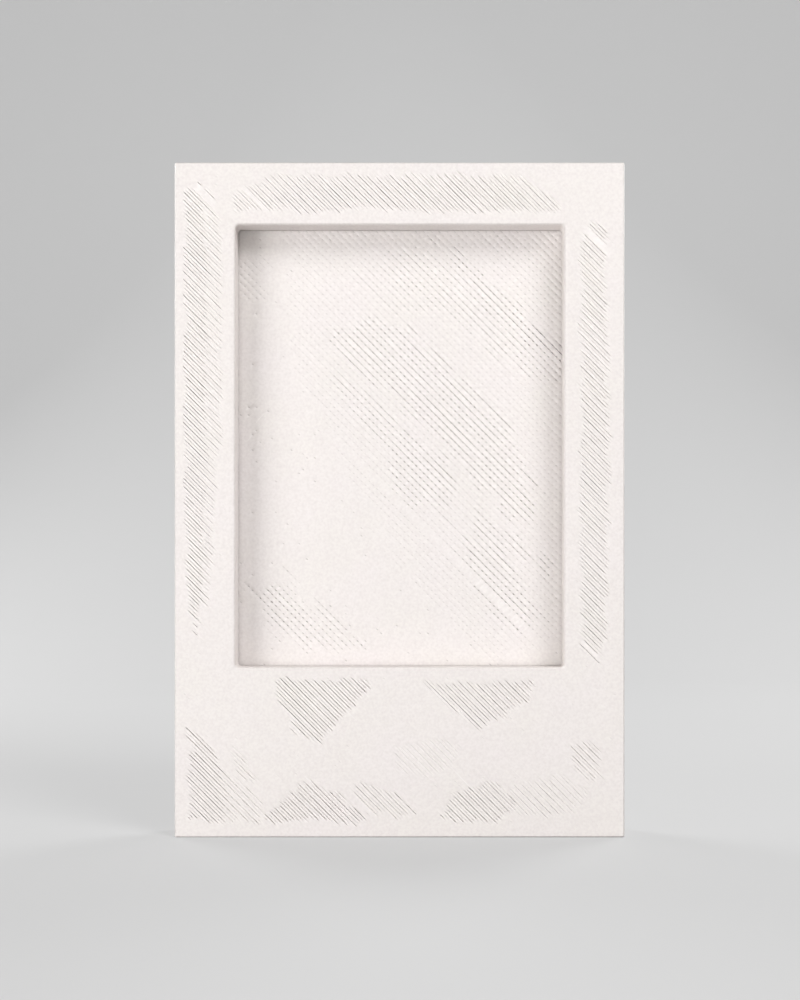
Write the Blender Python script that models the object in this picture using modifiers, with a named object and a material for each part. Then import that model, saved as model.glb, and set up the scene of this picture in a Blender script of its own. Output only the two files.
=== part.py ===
"""A small 3-D printed picture frame for an instant photo card.

The front frame is one print: a lip with the window, a shallow pocket for the card behind it and a
wider pocket for the back panel. Four turn buttons keep the panel in, and an easel leg on a pin
stands the frame up. The face looks along -Y and the frame stands on its lower edge at Z = 0.
Y = 0 is the middle of the front frame's depth.
"""

import math

import bmesh
import bpy
from mathutils import Matrix, Vector

MM = 0.001

# Fits
PART_GAP = 0.3 * MM
PIN_CLEARANCE = 0.2 * MM
SCREW_CLEARANCE = 0.2 * MM
STOP_GAP = 0.1 * MM
CUT_MARGIN = 2.0 * MM

# Card and window
CARD_WIDTH = 54.0 * MM
CARD_HEIGHT = 86.0 * MM
CARD_CLEARANCE = 0.3 * MM
CARD_SLOT = 1.0 * MM
WINDOW_WIDTH = 46.8 * MM
WINDOW_HEIGHT = 62.9 * MM
WINDOW_TOP_BORDER = 8.9 * MM
WINDOW_CORNER_RADIUS = 0.5 * MM

# Front frame, around the card
WALL = 3.7 * MM
PANEL_SEAT = 1.0 * MM
LIP_THICKNESS = 3.0 * MM
FRAME_CORNER_RADIUS = 0.25 * MM
EDGE_CHAMFER = 0.2 * MM
POCKET_CORNER_RADIUS = 0.6 * MM
CORNER_SEGMENTS = 4

# Back panel
PANEL_THICKNESS = 3.0 * MM
PANEL_CORNER_RADIUS = 1.0 * MM

# Easel leg and its hinge
LEG_LENGTH = 61.0 * MM
LEG_FOOT_CLEARANCE = 1.5 * MM
LEG_THICKNESS = 2.4 * MM
LEG_HEAD_WIDTH = 14.0 * MM
LEG_FLARE = 4.0 * MM
LEG_FOOT_RADIUS = 4.0 * MM
LEG_TAPER_START = 6.0 * MM
LEG_OPENING = math.radians(30.0)
HEEL_LENGTH = 4.0 * MM
HEEL_TOP_WIDTH = 1.2 * MM
BARREL_TOP_ANGLE = math.radians(30.0)
BARREL_LOWER_ANGLE = math.radians(-50.0)
BARREL_WALL = 1.4 * MM
PIN_RADIUS = 0.875 * MM
PIN_HEAD_OVERLAP = 0.3 * MM
PIN_HEAD_HEIGHT = 0.55 * MM
EAR_THICKNESS = 3.0 * MM
EAR_WALL = 1.5 * MM
LEG_RECESS_DEPTH = 0.8 * MM
LEG_RECESS_WIDTH = 8.0 * MM
LEG_RECESS_LENGTH = 36.0 * MM
LEG_RECESS_RADIUS = 2.0 * MM

# Turn buttons and their screws
BUTTON_THICKNESS = 1.6 * MM
BUTTON_REACH = 6.0 * MM
BUTTON_TIP_RADIUS = 2.6 * MM
BUTTON_HUB_WALL = 0.7 * MM
BUTTON_END_INSET = 20.0 * MM
GRIP_LENGTH = 3.6 * MM
GRIP_WIDTH = 1.2 * MM
GRIP_HEIGHT = 0.9 * MM
SCREW_RADIUS = 0.85 * MM
SCREW_LENGTH = 5.0 * MM
SCREW_TIP_LENGTH = 0.6 * MM
SCREW_HEAD_OVERLAP = 0.6 * MM
SCREW_HEAD_HEIGHT = 1.2 * MM
SCREW_HEAD_RIM = 0.5 * MM
SLOT_LENGTH = 2.0 * MM
SLOT_WIDTH = 0.45 * MM
SLOT_DEPTH = 0.6 * MM

# Facets of round pieces, and the least distance and angle that count
ARC_STEPS = 12
DOME_STEPS = 4
ROUND_STEPS = 28
WELD_DISTANCE = 0.001 * MM
FLAT_ANGLE = math.radians(0.1)
SHARP_ANGLE = math.radians(40.0)

# Worked out from the sizes above
CARD_POCKET_WIDTH = CARD_WIDTH + 2.0 * CARD_CLEARANCE
CARD_POCKET_HEIGHT = CARD_HEIGHT + 2.0 * CARD_CLEARANCE
PANEL_POCKET_WIDTH = CARD_POCKET_WIDTH + 2.0 * PANEL_SEAT
PANEL_POCKET_HEIGHT = CARD_POCKET_HEIGHT + 2.0 * PANEL_SEAT
FRAME_WIDTH = PANEL_POCKET_WIDTH + 2.0 * WALL
FRAME_HEIGHT = PANEL_POCKET_HEIGHT + 2.0 * WALL
FRAME_DEPTH = LIP_THICKNESS + CARD_SLOT + PANEL_THICKNESS
FRAME_MIDDLE_Z = FRAME_HEIGHT / 2.0
WINDOW_MIDDLE_Z = FRAME_HEIGHT - WINDOW_TOP_BORDER - WINDOW_HEIGHT / 2.0
FACE_Y = -FRAME_DEPTH / 2.0
BACK_Y = FRAME_DEPTH / 2.0
LIP_BACK_Y = FACE_Y + LIP_THICKNESS
PANEL_FRONT_Y = LIP_BACK_Y + CARD_SLOT
SEAT_Y = PANEL_FRONT_Y - PART_GAP
PANEL_WIDTH = PANEL_POCKET_WIDTH - 2.0 * PART_GAP
PANEL_HEIGHT = PANEL_POCKET_HEIGHT - 2.0 * PART_GAP
PIN_HOLE_RADIUS = PIN_RADIUS + PIN_CLEARANCE
PIN_HEAD_RADIUS = PIN_HOLE_RADIUS + PIN_HEAD_OVERLAP
EAR_RADIUS = PIN_HOLE_RADIUS + EAR_WALL
BARREL_RADIUS = PIN_HOLE_RADIUS + BARREL_WALL
HINGE_Y = BACK_Y + PART_GAP + BARREL_RADIUS
HINGE_Z = LEG_FOOT_CLEARANCE + LEG_LENGTH
EAR_INNER_X = LEG_HEAD_WIDTH / 2.0 + PART_GAP
EAR_OUTER_X = EAR_INNER_X + EAR_THICKNESS
LEG_FOOT_WIDTH = LEG_HEAD_WIDTH + 2.0 * LEG_FLARE
PIVOT_X = FRAME_WIDTH / 2.0 - WALL / 2.0
BUTTON_BASE_Y = BACK_Y + PART_GAP
SCREW_HEAD_Y = BUTTON_BASE_Y + BUTTON_THICKNESS + PART_GAP
SCREW_HOLE_RADIUS = SCREW_RADIUS + SCREW_CLEARANCE
SCREW_HEAD_RADIUS = SCREW_HOLE_RADIUS + SCREW_HEAD_OVERLAP
BUTTON_HUB_RADIUS = SCREW_HOLE_RADIUS + BUTTON_HUB_WALL

# Turns of a round piece's axis, and of a flat outline: its thickness along X or along Y
Z_TO_Y = Matrix.Rotation(math.radians(-90.0), 4, "X")
Z_TO_X = Matrix.Rotation(math.radians(90.0), 4, "Y")
SIDE_ON = Matrix(((0, 0, 1, 0), (1, 0, 0, 0), (0, 1, 0, 0), (0, 0, 0, 1)))
FLAT_ON = Matrix(((1, 0, 0, 0), (0, 0, -1, 0), (0, 1, 0, 0), (0, 0, 0, 1)))


def clear_scene():
    for old in list(bpy.data.objects):
        bpy.data.objects.remove(old, do_unlink=True)


def new_collection(name):
    collection = bpy.data.collections.new(name)
    bpy.context.scene.collection.children.link(collection)
    return collection


def new_material(name, colour, roughness, metallic=0.0):
    material = bpy.data.materials.new(name)
    material.use_nodes = True
    shader = material.node_tree.nodes["Principled BSDF"]
    shader.inputs["Base Color"].default_value = (*colour, 1.0)
    shader.inputs["Roughness"].default_value = roughness
    shader.inputs["Metallic"].default_value = metallic
    return material


def place(name, mesh, location, collection, material=None):
    """Link a mesh as a named object at a place."""
    piece = bpy.data.objects.new(name, mesh)
    piece.location = location
    collection.objects.link(piece)
    if material is not None:
        mesh.materials.clear()
        mesh.materials.append(material)
    return piece


def place_form(name, mesh, location, forms):
    """Link a mesh that only cuts or joins another piece."""
    form = place(name, mesh, location, forms)
    form.hide_render = True
    form.display_type = "WIRE"
    return form


def mesh_from(name, bm):
    bmesh.ops.recalc_face_normals(bm, faces=bm.faces)
    mesh = bpy.data.meshes.new(name)
    bm.to_mesh(mesh)
    bm.free()
    return mesh


def block(width, depth, height, corner_radius):
    """A block about the origin, with its four edges along Y rounded."""
    bm = bmesh.new()
    size = Matrix.Diagonal((width, depth, height, 1.0))
    bmesh.ops.create_cube(bm, size=1.0, matrix=size)
    if corner_radius > 0.0:
        along_y = [e for e in bm.edges if abs(e.verts[0].co.y - e.verts[1].co.y) > depth / 2.0]
        bmesh.ops.bevel(
            bm,
            geom=along_y,
            offset=corner_radius,
            segments=CORNER_SEGMENTS,
            profile=0.5,
            affect="EDGES",
        )
    return bm


def block_mesh(name, width, depth, height, corner_radius=0.0):
    return mesh_from(name, block(width, depth, height, corner_radius))


def mouthed_block_mesh(name, width, depth, height, corner_radius, flare, mouth_length):
    """A block whose front end flares at 45 degrees and then runs on forwards as a mouth."""
    bm = block(width, depth, height, corner_radius)
    for forward, outward in ((flare, flare), (mouth_length, 0.0)):
        front = min(bm.faces, key=lambda face: face.calc_center_median().y)
        grown = bmesh.ops.extrude_face_region(bm, geom=[front])["geom"]
        bmesh.ops.delete(bm, geom=[front], context="FACES_ONLY")
        for vert in (item for item in grown if isinstance(item, bmesh.types.BMVert)):
            vert.co.y -= forward
            vert.co.x += math.copysign(outward, vert.co.x)
            vert.co.z += math.copysign(outward, vert.co.z)
    return mesh_from(name, bm)


def cylinder_mesh(name, radius, length, turn):
    """A cylinder about the origin, turned from Z to its axis."""
    bm = bmesh.new()
    bmesh.ops.create_cone(
        bm,
        cap_ends=True,
        segments=ROUND_STEPS,
        radius1=radius,
        radius2=radius,
        depth=length,
        matrix=turn,
    )
    return mesh_from(name, bm)


def arc(centre, radius, start, end, steps=ARC_STEPS):
    """Points of an arc between two angles, both ends included."""
    angles = [start + (end - start) * step / steps for step in range(steps + 1)]
    return [(centre[0] + radius * math.cos(a), centre[1] + radius * math.sin(a)) for a in angles]


def plate_mesh(name, outline, thickness, turn):
    """A flat outline, extruded to a thickness about its plane and turned into place."""
    curve = bpy.data.curves.new(name, "CURVE")
    curve.dimensions = "2D"
    curve.fill_mode = "BOTH"
    curve.extrude = thickness / 2.0
    spline = curve.splines.new("POLY")
    spline.points.add(len(outline) - 1)
    for point, (u, v) in zip(spline.points, outline):
        point.co = (u, v, 0.0, 1.0)
    spline.use_cyclic_u = True
    drawing = bpy.data.objects.new(name, curve)
    bpy.context.scene.collection.objects.link(drawing)
    graph = bpy.context.evaluated_depsgraph_get()
    flat = bpy.data.meshes.new_from_object(drawing.evaluated_get(graph))
    bm = bmesh.new()
    bm.from_mesh(flat)
    bmesh.ops.remove_doubles(bm, verts=bm.verts, dist=WELD_DISTANCE)
    bmesh.ops.dissolve_limit(bm, angle_limit=FLAT_ANGLE, verts=bm.verts, edges=bm.edges)
    bmesh.ops.transform(bm, matrix=turn, verts=bm.verts)
    bpy.data.objects.remove(drawing, do_unlink=True)
    bpy.data.meshes.remove(flat)
    return mesh_from(name, bm)


def turned_object(name, profile, collection):
    """A profile of (radius, height) points, top to bottom, spun about Z."""
    mesh = bpy.data.meshes.new(name)
    points = [(radius, 0.0, height) for radius, height in profile]
    mesh.from_pydata(points, [(i, i + 1) for i in range(len(points) - 1)], [])
    piece = place(name, mesh, (0.0, 0.0, 0.0), collection)
    spin = piece.modifiers.new("spin", "SCREW")
    spin.axis = "Z"
    spin.steps = ROUND_STEPS
    spin.render_steps = ROUND_STEPS
    spin.use_merge_vertices = True
    spin.merge_threshold = WELD_DISTANCE
    return piece


def soften(piece):
    """Take the sharp edges off a piece."""
    bevel = piece.modifiers.new("edges", "BEVEL")
    bevel.width = EDGE_CHAMFER
    bevel.segments = 1
    bevel.limit_method = "ANGLE"
    bevel.angle_limit = SHARP_ANGLE


def combine(piece, form, operation):
    """Cut a piece by a form, join the form to it, or keep what both share."""
    boolean = piece.modifiers.new(form.name, "BOOLEAN")
    boolean.object = form
    boolean.operation = operation
    boolean.solver = "EXACT"


def finished_mesh(piece, forms):
    """The mesh of a piece with its modifiers worked out, for pieces that are repeated."""
    graph = bpy.context.evaluated_depsgraph_get()
    mesh = bpy.data.meshes.new_from_object(piece.evaluated_get(graph))
    mesh.name = piece.name
    bpy.data.objects.remove(piece, do_unlink=True)
    for form in forms:
        bpy.data.objects.remove(form, do_unlink=True)
    return mesh


def shade_round(mesh):
    mesh.shade_smooth()
    mesh.set_sharp_from_angle(angle=SHARP_ANGLE)


def pivots():
    """The name and the place of each turn button's screw, on the side walls."""
    places = {}
    for side, sign in (("left", -1.0), ("right", 1.0)):
        for level, height in (
            ("lower", BUTTON_END_INSET),
            ("upper", FRAME_HEIGHT - BUTTON_END_INSET),
        ):
            places[f"{side}_{level}"] = Vector((sign * PIVOT_X, BACK_Y, height))
    return places


def make_front_frame(parts, forms, material):
    """The printed front: lip, window, card pocket, panel pocket and the screws' pilot holes."""
    body = block_mesh(
        "front_frame", FRAME_WIDTH, FRAME_DEPTH, FRAME_HEIGHT, FRAME_CORNER_RADIUS
    )
    frame = place("front_frame", body, (0.0, 0.0, FRAME_MIDDLE_Z), parts, material)
    soften(frame)

    window_front = FACE_Y + EDGE_CHAMFER
    window_back = LIP_BACK_Y + PART_GAP
    window = place_form(
        "window_form",
        mouthed_block_mesh(
            "window_form",
            WINDOW_WIDTH,
            window_back - window_front,
            WINDOW_HEIGHT,
            WINDOW_CORNER_RADIUS,
            EDGE_CHAMFER,
            CUT_MARGIN,
        ),
        (0.0, (window_front + window_back) / 2.0, WINDOW_MIDDLE_Z),
        forms,
    )
    combine(frame, window, "DIFFERENCE")

    pockets = (
        ("card_pocket_form", CARD_POCKET_WIDTH, CARD_POCKET_HEIGHT, LIP_BACK_Y),
        ("panel_pocket_form", PANEL_POCKET_WIDTH, PANEL_POCKET_HEIGHT, SEAT_Y),
    )
    for name, width, height, front in pockets:
        depth = BACK_Y + CUT_MARGIN - front
        pocket = place_form(
            name,
            block_mesh(name, width, depth, height, POCKET_CORNER_RADIUS),
            (0.0, front + depth / 2.0, FRAME_MIDDLE_Z),
            forms,
        )
        combine(frame, pocket, "DIFFERENCE")

    hole_end = SCREW_HEAD_Y - SCREW_LENGTH - PART_GAP
    hole_length = BACK_Y + CUT_MARGIN - hole_end
    for name, pivot in pivots().items():
        hole = place_form(
            f"pilot_hole_form_{name}",
            cylinder_mesh("pilot_hole_form", SCREW_HOLE_RADIUS, hole_length, Z_TO_Y),
            (pivot.x, hole_end + hole_length / 2.0, pivot.z),
            forms,
        )
        combine(frame, hole, "DIFFERENCE")
    return frame


def make_back_panel(parts, forms, material):
    """The drop-in panel, with the two hinge ears printed on its back."""
    plate = block_mesh(
        "back_panel", PANEL_WIDTH, PANEL_THICKNESS, PANEL_HEIGHT, PANEL_CORNER_RADIUS
    )
    middle = (0.0, PANEL_FRONT_Y + PANEL_THICKNESS / 2.0, FRAME_MIDDLE_Z)
    panel = place("back_panel", plate, middle, parts, material)
    soften(panel)

    root = BACK_Y - PANEL_THICKNESS / 2.0 - HINGE_Y
    outline = [(root, -EAR_RADIUS)]
    outline += arc((0.0, 0.0), EAR_RADIUS, math.radians(-90.0), math.radians(90.0))
    outline += [(root, EAR_RADIUS)]
    for side, sign in (("left", -1.0), ("right", 1.0)):
        ear = place_form(
            f"ear_form_{side}",
            plate_mesh("ear_form", outline, EAR_THICKNESS, SIDE_ON),
            (sign * (EAR_INNER_X + EAR_OUTER_X) / 2.0, HINGE_Y, HINGE_Z),
            forms,
        )
        soften(ear)
        combine(panel, ear, "UNION")

    bore = place_form(
        "ear_bore_form",
        cylinder_mesh("ear_bore_form", PIN_HOLE_RADIUS, 2.0 * EAR_OUTER_X + CUT_MARGIN, Z_TO_X),
        (0.0, HINGE_Y, HINGE_Z),
        forms,
    )
    combine(panel, bore, "DIFFERENCE")
    return panel


def leg_side_outline():
    """The leg's side, as (Y, Z) from the hinge axis.

    The heel above the barrel is a flat that meets the panel when the leg stands open.
    """
    inner = -BARREL_RADIUS
    outer = inner + LEG_THICKNESS
    panel_distance = HINGE_Y - BACK_Y
    sine = math.sin(LEG_OPENING)
    cosine = math.cos(LEG_OPENING)
    heel_start = (panel_distance - STOP_GAP - BARREL_RADIUS * cosine) / sine
    heel_tip = (inner + HEEL_LENGTH * sine, heel_start + HEEL_LENGTH * cosine)
    outline = [(inner, -LEG_LENGTH), (inner, heel_start), heel_tip]
    outline += [(heel_tip[0] + HEEL_TOP_WIDTH, heel_tip[1])]
    outline += arc((0.0, 0.0), BARREL_RADIUS, BARREL_TOP_ANGLE, BARREL_LOWER_ANGLE)
    outline += [(outer, -LEG_TAPER_START), (outer, -LEG_LENGTH)]
    return outline[::-1]


def leg_plan_outline():
    """The leg seen from behind, as (X, Z) from the hinge axis: it widens towards its foot."""
    half_head = LEG_HEAD_WIDTH / 2.0
    centre_x = LEG_FOOT_WIDTH / 2.0 - LEG_FOOT_RADIUS
    centre_z = -LEG_LENGTH + LEG_FOOT_RADIUS
    top = HEEL_LENGTH + BARREL_RADIUS
    right = math.radians(0.0)
    down = math.radians(-90.0)
    left = math.radians(-180.0)
    outline = [(-half_head, top), (half_head, top), (half_head, -LEG_TAPER_START)]
    outline += arc((centre_x, centre_z), LEG_FOOT_RADIUS, right, down)
    outline += arc((-centre_x, centre_z), LEG_FOOT_RADIUS, down, left)
    outline += [(-half_head, -LEG_TAPER_START)]
    return outline[::-1]


def make_easel_leg(parts, forms, material):
    """The folding leg. Its origin is on the hinge axis."""
    hinge = bpy.data.objects.new("leg_hinge_axis", None)
    hinge.location = (0.0, HINGE_Y, HINGE_Z)
    parts.objects.link(hinge)

    side_width = LEG_FOOT_WIDTH + LEG_HEAD_WIDTH
    side = plate_mesh("easel_leg", leg_side_outline(), side_width, SIDE_ON)
    leg = place("easel_leg", side, (0.0, 0.0, 0.0), parts, material)
    leg.parent = hinge

    plan_depth = 2.0 * (BARREL_RADIUS + LEG_THICKNESS)
    plan = place_form(
        "leg_plan_form",
        plate_mesh("leg_plan_form", leg_plan_outline(), plan_depth, FLAT_ON),
        hinge.location,
        forms,
    )
    combine(leg, plan, "INTERSECT")
    soften(leg)

    bore = place_form(
        "leg_bore_form",
        cylinder_mesh("leg_bore_form", PIN_HOLE_RADIUS, LEG_HEAD_WIDTH + CUT_MARGIN, Z_TO_X),
        hinge.location,
        forms,
    )
    combine(leg, bore, "DIFFERENCE")

    outer_y = HINGE_Y - BARREL_RADIUS + LEG_THICKNESS
    recess_z = HINGE_Z - (LEG_TAPER_START + LEG_LENGTH) / 2.0
    recess = place_form(
        "leg_recess_form",
        block_mesh(
            "leg_recess_form",
            LEG_RECESS_WIDTH,
            2.0 * LEG_RECESS_DEPTH,
            LEG_RECESS_LENGTH,
            LEG_RECESS_RADIUS,
        ),
        (0.0, outer_y, recess_z),
        forms,
    )
    combine(leg, recess, "DIFFERENCE")
    return leg


def make_hinge_pin(parts, material):
    """A length of filament with both ends melted to low heads, outside the ears.

    It is drawn along Z and then turned to the hinge axis.
    """
    half_shank = EAR_OUTER_X + PART_GAP
    shoulder = half_shank + PIN_HEAD_HEIGHT / 2.0
    end = half_shank + PIN_HEAD_HEIGHT
    upper = [
        (0.0, end),
        (PIN_RADIUS, end),
        (PIN_HEAD_RADIUS, shoulder),
        (PIN_HEAD_RADIUS, half_shank),
        (PIN_RADIUS, half_shank),
    ]
    lower = [(radius, -height) for radius, height in reversed(upper)]
    mesh = finished_mesh(turned_object("hinge_pin", upper + lower, parts), ())
    mesh.transform(Z_TO_X)
    shade_round(mesh)
    return place("hinge_pin", mesh, (0.0, HINGE_Y, HINGE_Z), parts, material)


def button_mesh(forms):
    """A turn button that points along +X from its pivot, with its base at Y = 0."""
    lean = math.acos((BUTTON_HUB_RADIUS - BUTTON_TIP_RADIUS) / BUTTON_REACH)
    outline = arc((BUTTON_REACH, 0.0), BUTTON_TIP_RADIUS, -lean, lean)
    outline += arc((0.0, 0.0), BUTTON_HUB_RADIUS, lean, 2.0 * math.pi - lean)
    plate = plate_mesh("turn_button", outline, BUTTON_THICKNESS, FLAT_ON)
    plate.transform(Matrix.Translation((0.0, BUTTON_THICKNESS / 2.0, 0.0)))
    button = place("turn_button", plate, (0.0, 0.0, 0.0), forms)
    soften(button)

    root = BUTTON_THICKNESS / 2.0
    grip_depth = BUTTON_THICKNESS + GRIP_HEIGHT - root
    grip = place_form(
        "grip_form",
        block_mesh("grip_form", GRIP_WIDTH, grip_depth, GRIP_LENGTH),
        (BUTTON_REACH, root + grip_depth / 2.0, 0.0),
        forms,
    )
    soften(grip)
    combine(button, grip, "UNION")

    hole = place_form(
        "button_hole_form",
        cylinder_mesh(
            "button_hole_form", SCREW_HOLE_RADIUS, 2.0 * BUTTON_THICKNESS + CUT_MARGIN, Z_TO_Y
        ),
        (0.0, 0.0, 0.0),
        forms,
    )
    combine(button, hole, "DIFFERENCE")
    return finished_mesh(button, (grip, hole))


def screw_mesh(forms):
    """A small pan head screw that points along -Y, with the underside of its head at Y = 0.

    It is drawn along Z, with its head up, and then turned.
    """
    crown = SCREW_HEAD_HEIGHT - SCREW_HEAD_RIM
    dome = arc((0.0, 0.0), 1.0, math.radians(90.0), 0.0, DOME_STEPS)
    profile = [(SCREW_HEAD_RADIUS * u, SCREW_HEAD_RIM + crown * v) for u, v in dome]
    profile[0] = (0.0, SCREW_HEAD_HEIGHT)
    profile += [
        (SCREW_HEAD_RADIUS, 0.0),
        (SCREW_RADIUS, 0.0),
        (SCREW_RADIUS, SCREW_TIP_LENGTH - SCREW_LENGTH),
        (0.0, -SCREW_LENGTH),
    ]
    screw = turned_object("turn_button_screw", profile, forms)
    cutters = []
    for name, width, height in (
        ("slot_form_across", SLOT_LENGTH, SLOT_WIDTH),
        ("slot_form_up", SLOT_WIDTH, SLOT_LENGTH),
    ):
        slot = place_form(
            name,
            block_mesh(name, width, height, 2.0 * SLOT_DEPTH),
            (0.0, 0.0, SCREW_HEAD_HEIGHT),
            forms,
        )
        combine(screw, slot, "DIFFERENCE")
        cutters.append(slot)
    mesh = finished_mesh(screw, cutters)
    mesh.transform(Z_TO_Y)
    return mesh


def make_turn_buttons(parts, forms, plastic, steel):
    """Four buttons that turn over the panel's edge, each on its screw. They share one mesh."""
    button = button_mesh(forms)
    screw = screw_mesh(forms)
    shade_round(button)
    shade_round(screw)
    for name, pivot in pivots().items():
        inward = math.pi if pivot.x > 0.0 else 0.0
        base = (pivot.x, BUTTON_BASE_Y, pivot.z)
        piece = place(f"turn_button_{name}", button, base, parts, plastic)
        piece.rotation_euler = (0.0, inward, 0.0)
        head = (pivot.x, SCREW_HEAD_Y, pivot.z)
        place(f"turn_button_screw_{name}", screw, head, parts, steel)


def main():
    clear_scene()
    parts = new_collection("picture_frame")
    forms = new_collection("forms")
    white = new_material("printed_plastic_front", (0.92, 0.88, 0.85), 0.6)
    panel_white = new_material("printed_plastic_panel", (0.92, 0.88, 0.85), 0.65)
    filament = new_material("filament", (0.90, 0.86, 0.83), 0.4)
    steel = new_material("zinc_plated_steel", (0.62, 0.62, 0.63), 0.35, 1.0)
    make_front_frame(parts, forms, white)
    make_back_panel(parts, forms, panel_white)
    make_easel_leg(parts, forms, panel_white)
    make_hinge_pin(parts, filament)
    make_turn_buttons(parts, forms, panel_white, steel)


main()
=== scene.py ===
"""A small white 3-D printed picture frame, with the marks that its printing left on it.

The front frame and the back panel were printed flat on their faces. Their walls show the layers, and
their flat faces show the nozzle's diagonal lines where these lie apart. Each printed piece starts as
a merged copy of its solid, so it keeps that solid's size and place. Its walls and faces are then cut
along the layers and the lines, and the cuts are drawn a little way in.

Lengths are in metres, made from millimetres with MM. X runs to the right, Y from the face to the back
and Z up, and the frame stands on its lower edge at Z = 0.
"""

import logging
import math
import random
from collections.abc import Callable, Iterable
from dataclasses import dataclass, field, replace
from enum import Enum
from functools import lru_cache

import bmesh
import bpy
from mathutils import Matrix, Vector, noise


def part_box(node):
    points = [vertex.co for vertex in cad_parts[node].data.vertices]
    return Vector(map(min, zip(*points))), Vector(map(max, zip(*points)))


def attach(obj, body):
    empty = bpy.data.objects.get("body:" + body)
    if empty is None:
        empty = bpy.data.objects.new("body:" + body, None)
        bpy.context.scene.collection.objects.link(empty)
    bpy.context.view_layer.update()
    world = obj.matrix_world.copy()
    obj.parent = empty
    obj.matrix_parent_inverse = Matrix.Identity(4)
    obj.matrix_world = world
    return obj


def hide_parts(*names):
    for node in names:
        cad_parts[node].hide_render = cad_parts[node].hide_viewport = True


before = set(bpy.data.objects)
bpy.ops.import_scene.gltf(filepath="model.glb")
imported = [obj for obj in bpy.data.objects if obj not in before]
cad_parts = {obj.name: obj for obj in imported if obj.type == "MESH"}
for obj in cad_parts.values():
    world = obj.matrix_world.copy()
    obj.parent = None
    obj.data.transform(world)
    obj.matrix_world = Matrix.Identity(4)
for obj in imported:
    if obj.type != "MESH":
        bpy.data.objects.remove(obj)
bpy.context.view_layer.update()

LOG = logging.getLogger("picture_frame")
GAP_GROUP = "gap_middle"
# Name of the vertex attribute that paints shade into the gaps (above 0) and a highlight on the strips
# beside them (below 0)
GAP_SHADE_AND_HIGHLIGHT = "gap_shade_and_highlight"

MM = 0.001
HALF_ROOT = math.sqrt(0.5)
HALF_SQUARE = math.radians(45.0)
ON_PLANE = 0.001 * MM
WELD_DISTANCE = 0.001 * MM
SLIVER_WIDTH = 0.008 * MM
FLAT_ANGLE = math.radians(0.5)
LEVEL_ANGLE = math.radians(0.02)
SMOOTH_ANGLE = math.radians(40.0)
SQUARE_ON = 0.99
UPRIGHT = 0.5

Plane = tuple[Vector, Vector]
Colour = tuple[float, float, float]
Span = tuple[float, float]
Socket = bpy.types.NodeSocket
Filling = float | Colour | Socket
FaceTest = Callable[[bmesh.types.BMFace], bool]


class Kind(Enum):
    """What a selection is made of: its select mode, and its list in a mesh."""

    VERTEX = ("VERT", "verts")
    EDGE = ("EDGE", "edges")
    FACE = ("FACE", "faces")


class Lay(Enum):
    """How nozzle lines run on a face, seen from the front: the direction square to them."""

    FALLING = (HALF_ROOT, 0.0, HALF_ROOT)
    RISING = (HALF_ROOT, 0.0, -HALF_ROOT)

    @property
    def across(self) -> Vector:
        """The direction square to the lines, in the plane of the face."""
        return Vector(self.value)

    @property
    def other(self) -> "Lay":
        """The lay of the lines in the layer below."""
        return Lay.RISING if self is Lay.FALLING else Lay.FALLING


@lru_cache(maxsize=None)
def chance(*keys: int) -> float:
    """Give a number from 0 to 1 that is always the same for the same whole numbers.

    Args:
        keys: The whole numbers.

    Returns:
        The number that belongs to them.
    """
    return random.Random(repr(keys)).random()


def pick(piece: bpy.types.Object) -> None:
    """Select a piece alone and make it the active one.

    Args:
        piece: The object.
    """
    bpy.ops.object.select_all(action="DESELECT")
    bpy.context.view_layer.objects.active = piece
    piece.select_set(True)


def start_editing(piece: bpy.types.Object) -> None:
    """Select a piece alone and open it in edit mode.

    Args:
        piece: The mesh object.
    """
    pick(piece)
    bpy.ops.object.mode_set(mode="EDIT")
    bpy.ops.mesh.reveal(select=False)


def stop_editing() -> None:
    """Show what was hidden and go back to object mode."""
    bpy.ops.mesh.reveal(select=False)
    bpy.ops.object.mode_set(mode="OBJECT")


def select_where(piece: bpy.types.Object, kind: Kind, test: Callable[..., bool]) -> int:
    """Select the shown vertices, edges or faces that pass a test.

    Args:
        piece: The piece in edit mode.
        kind: What to select.
        test: Says of one vertex, edge or face whether it is wanted.

    Returns:
        How many were selected.
    """
    mode, members = kind.value
    bpy.ops.mesh.select_mode(type=mode)
    bpy.ops.mesh.select_all(action="DESELECT")
    mesh = bmesh.from_edit_mesh(piece.data)
    wanted = [item for item in getattr(mesh, members) if not item.hide and test(item)]
    for item in wanted:
        item.select_set(True)
    mesh.select_flush_mode()
    bmesh.update_edit_mesh(piece.data)
    return len(wanted)


def show_only(piece: bpy.types.Object, test: FaceTest) -> None:
    """Hide every face of a piece in edit mode that fails a test.

    Args:
        piece: The piece in edit mode.
        test: Says of one face whether it stays.
    """
    bpy.ops.mesh.reveal(select=False)
    select_where(piece, Kind.FACE, test)
    bpy.ops.mesh.hide(unselected=True)


def cut(planes: Iterable[Plane]) -> None:
    """Bisect all that the piece in edit mode shows.

    Args:
        planes: The cuts, each a point and a normal.
    """
    for point, normal in planes:
        bpy.ops.mesh.select_all(action="SELECT")
        bpy.ops.mesh.bisect(plane_co=point, plane_no=normal)


def shade(piece: bpy.types.Object) -> None:
    """Shade a piece smooth, with its sharp edges kept.

    Args:
        piece: The mesh object.
    """
    pick(piece)
    bpy.ops.object.shade_smooth_by_angle(angle=SMOOTH_ANGLE)


def settle(piece: bpy.types.Object, place: Vector, turn: tuple[float, float, float]) -> None:
    """Turn and move a piece in its mesh, so that its object stays at the origin.

    Args:
        piece: The mesh object.
        place: Where its origin goes.
        turn: Its rotation about X, Y and Z.
    """
    piece.location = place
    piece.rotation_euler = turn
    pick(piece)
    bpy.ops.object.transform_apply(location=True, rotation=True, scale=True)


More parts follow.
